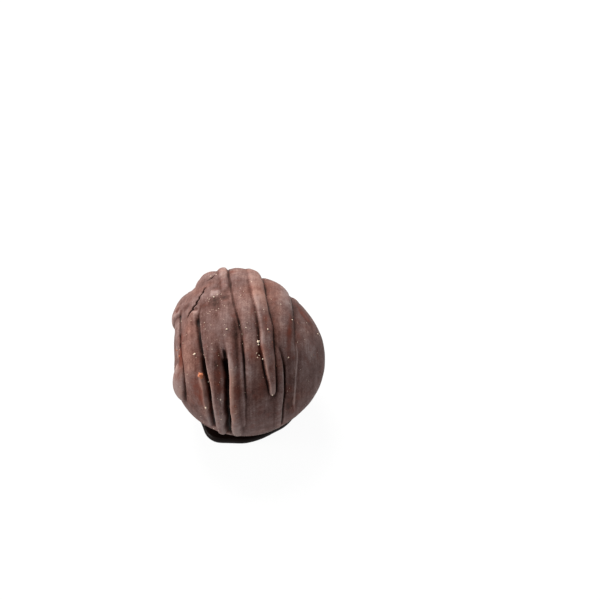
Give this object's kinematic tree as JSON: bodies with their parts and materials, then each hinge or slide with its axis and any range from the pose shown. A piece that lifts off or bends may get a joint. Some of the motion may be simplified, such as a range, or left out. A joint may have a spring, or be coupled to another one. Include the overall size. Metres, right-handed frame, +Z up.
{
  "type": "chocolate protein ball",
  "caption": "Dark-chocolate-coated protein ball with thick strands of drizzle melted over its top, standing in a thin foot of pooled chocolate.",
  "frame": {"origin": "middle of the bounding box at the foot's flat underside", "axes": "+Z up from the foot to the crown, +X to the right of a viewer facing the drizzled front, front faces -Y; the drizzle runs over the crown from back to front"},
  "size_m": [0.038, 0.0416, 0.0388],
  "materials": {
    "chocolate": "set dark chocolate with a dull bloom, darker and slightly glossy at the foot"
  },
  "bodies": {
    "root": {"protein_ball": "chocolate"}
  },
  "joints": []
}
